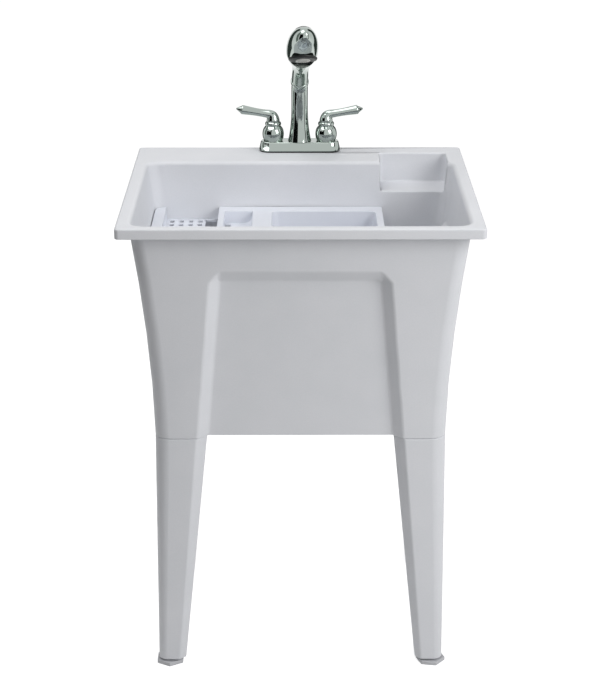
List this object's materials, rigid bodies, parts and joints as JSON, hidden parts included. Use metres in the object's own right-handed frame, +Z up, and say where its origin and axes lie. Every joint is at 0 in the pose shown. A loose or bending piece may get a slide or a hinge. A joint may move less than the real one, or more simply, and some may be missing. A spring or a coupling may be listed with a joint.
{
  "type": "utility laundry sink",
  "caption": "Free-standing laundry sink: flared moulded tub with corner posts on tapered legs, soap shelf, hung storage tray, strainer drain and lever faucet with a pull-out spray.",
  "frame": {"origin": "on the floor, under the middle of the rim", "axes": "+X to the right as the user at the front sees it, +Y to the wall behind the sink, +Z up"},
  "size_m": [0.622, 0.546, 1.1216],
  "materials": {
    "tub_plastic": "fine matte mould grain",
    "tray_plastic": "smooth satin",
    "foot_plastic": "matte",
    "faucet_chrome": "bright polished plate",
    "drain_steel": "brushed",
    "valve_brass": "machined",
    "gasket_rubber": "matte",
    "black_plastic": "satin",
    "fitting_plastic": "satin"
  },
  "bodies": {
    "sink": {"tub": "tub_plastic", "leg_front_left": "tub_plastic", "leg_front_right": "tub_plastic", "leg_rear_left": "tub_plastic", "leg_rear_right": "tub_plastic", "drain_body": "drain_steel", "drain_gasket": "gasket_rubber", "drain_washer": "fitting_plastic", "drain_lock_nut": "drain_steel", "drain_tailpiece": "fitting_plastic", "drain_slip_nut": "fitting_plastic", "faucet_gasket": "black_plastic", "faucet_base": "faucet_chrome", "hose_guide": "fitting_plastic", "valve_left": "valve_brass", "valve_right": "valve_brass", "valve_hub_left": "faucet_chrome", "valve_hub_right": "faucet_chrome", "shank_nut_left": "fitting_plastic", "shank_nut_right": "fitting_plastic"},
    "foot_front_left": {"foot_front_left": "foot_plastic"},
    "foot_front_right": {"foot_front_right": "foot_plastic"},
    "foot_rear_left": {"foot_rear_left": "foot_plastic"},
    "foot_rear_right": {"foot_rear_right": "foot_plastic"},
    "tray": {"storage_tray": "tray_plastic"},
    "basket": {"drain_basket": "drain_steel"},
    "handle_left": {"lever_left": "faucet_chrome", "valve_stem_left": "valve_brass"},
    "handle_right": {"lever_right": "faucet_chrome", "valve_stem_right": "valve_brass"},
    "spout": {"spout_column": "faucet_chrome"},
    "spray": {"spray_head": "faucet_chrome", "spray_face": "black_plastic"},
    "button": {"spray_button": "black_plastic"}
  },
  "joints": [
    {"name": "handle_left_turn", "type": "hinge", "parent": "sink", "child": "handle_left", "pos_m": [-0.0508, 0.2485, 0.914], "axis": [0, 0, 1], "range_deg": [0, 90]},
    {"name": "handle_right_turn", "type": "hinge", "parent": "sink", "child": "handle_right", "pos_m": [0.0508, 0.2485, 0.914], "axis": [0, 0, 1], "range_deg": [-90, 0]},
    {"name": "spout_swivel", "type": "hinge", "parent": "sink", "child": "spout", "pos_m": [0, 0.2485, 0.877], "axis": [0, 0, 1], "range_deg": [-60, 60]},
    {"name": "spray_pull", "type": "slide", "parent": "spout", "child": "spray", "axis": [0.0336, -0.6009, 0.7986], "range_m": [0, 0.15]},
    {"name": "spray_button_press", "type": "slide", "parent": "spray", "child": "button", "axis": [0.0274, -0.4907, -0.8709], "range_m": [0, 0.0018], "stiffness_N_per_m": 400, "springref_m": -0.001},
    {"name": "foot_front_left_level", "type": "slide", "parent": "sink", "child": "foot_front_left", "axis": [0, 0, 1], "range_m": [-0.012, 0]},
    {"name": "foot_front_right_level", "type": "slide", "parent": "sink", "child": "foot_front_right", "axis": [0, 0, 1], "range_m": [-0.012, 0]},
    {"name": "foot_rear_left_level", "type": "slide", "parent": "sink", "child": "foot_rear_left", "axis": [0, 0, 1], "range_m": [-0.012, 0]},
    {"name": "foot_rear_right_level", "type": "slide", "parent": "sink", "child": "foot_rear_right", "axis": [0, 0, 1], "range_m": [-0.012, 0]},
    {"name": "tray_lift", "type": "slide", "parent": "sink", "child": "tray", "axis": [0, 0, 1], "range_m": [0, 0.2]},
    {"name": "basket_lift", "type": "slide", "parent": "sink", "child": "basket", "axis": [0, 0, 1], "range_m": [0, 0.06]}
  ]
}
